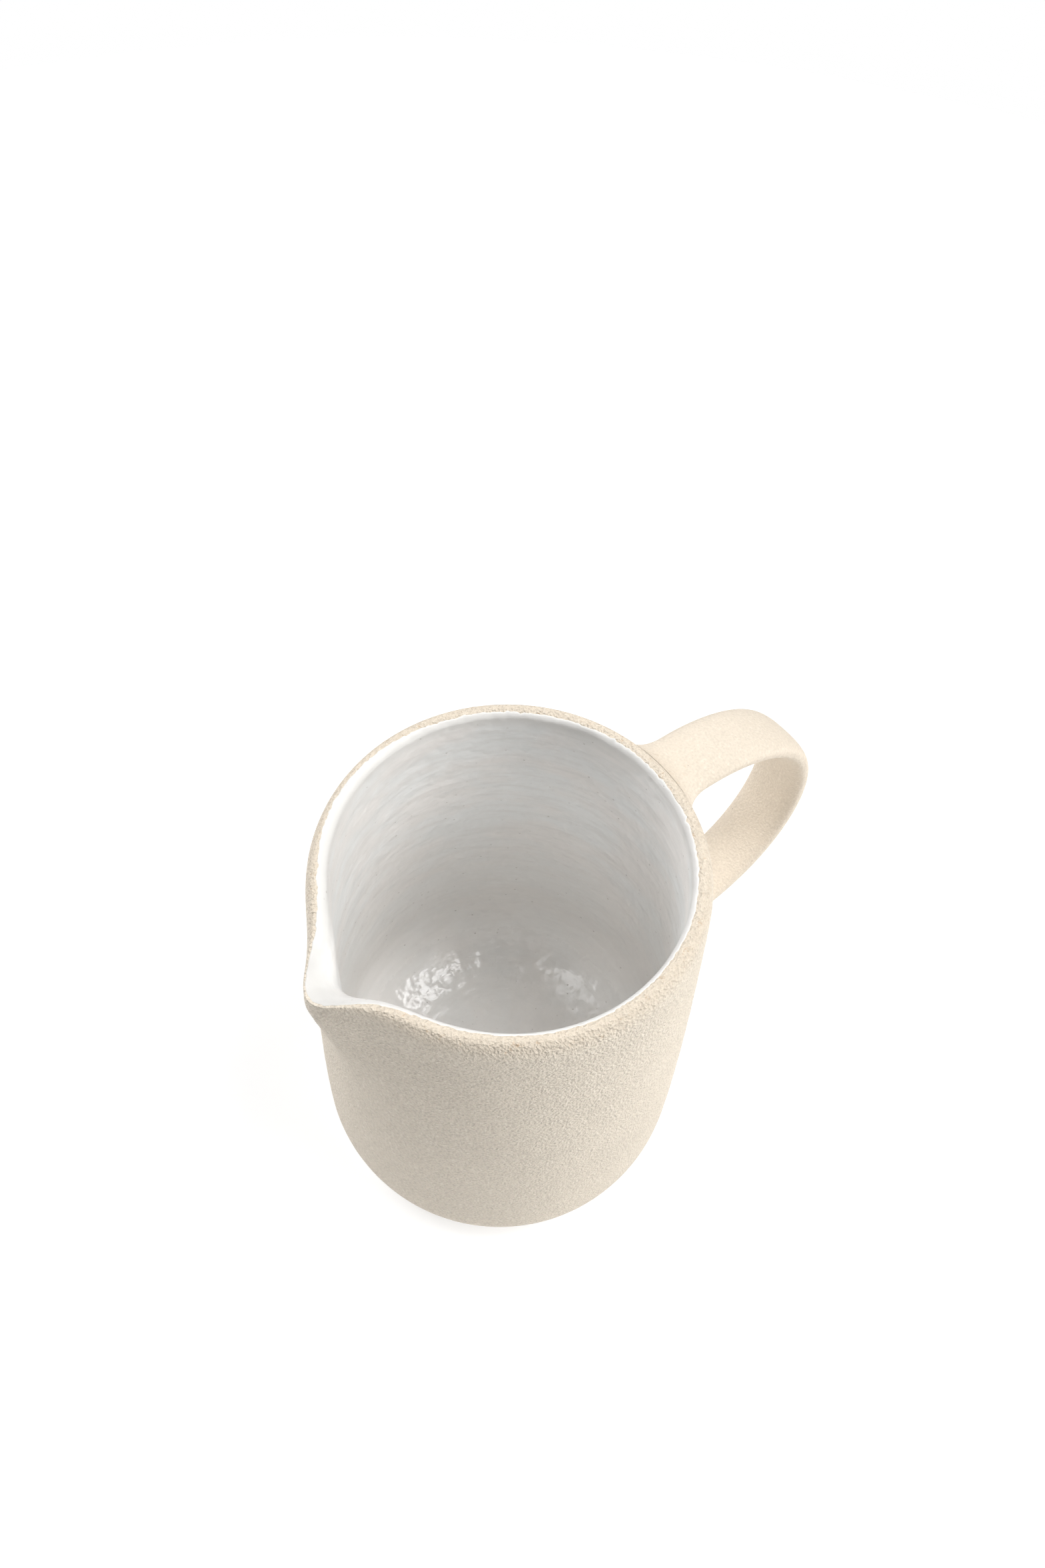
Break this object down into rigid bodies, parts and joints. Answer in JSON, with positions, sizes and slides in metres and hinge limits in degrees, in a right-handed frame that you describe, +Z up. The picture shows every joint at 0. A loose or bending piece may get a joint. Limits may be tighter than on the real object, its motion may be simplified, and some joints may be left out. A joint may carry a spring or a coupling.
{
  "type": "pitcher",
  "caption": "Small round-bodied stoneware pitcher with a pulled pouring spout, one strap handle and a glazed inside.",
  "frame": {"origin": "middle of the flat foot, on the surface that the pitcher stands on", "axes": "+Z up along the pot's axis, +X towards the handle, so the spout points along -X"},
  "size_m": [0.1526, 0.0998, 0.1214],
  "materials": {
    "bare_clay": "unglazed sandy stoneware, matte with a fine grain",
    "strap_clay": "unglazed stoneware, matte and a little smoother than the pot",
    "glaze": "pale grey-white glaze, satin on the wall and glossy where it pools on the floor"
  },
  "bodies": {
    "root": {"body": "bare_clay", "interior_glaze": "glaze", "handle": "strap_clay", "upper_handle_join": "strap_clay", "lower_handle_join": "strap_clay"}
  },
  "joints": []
}
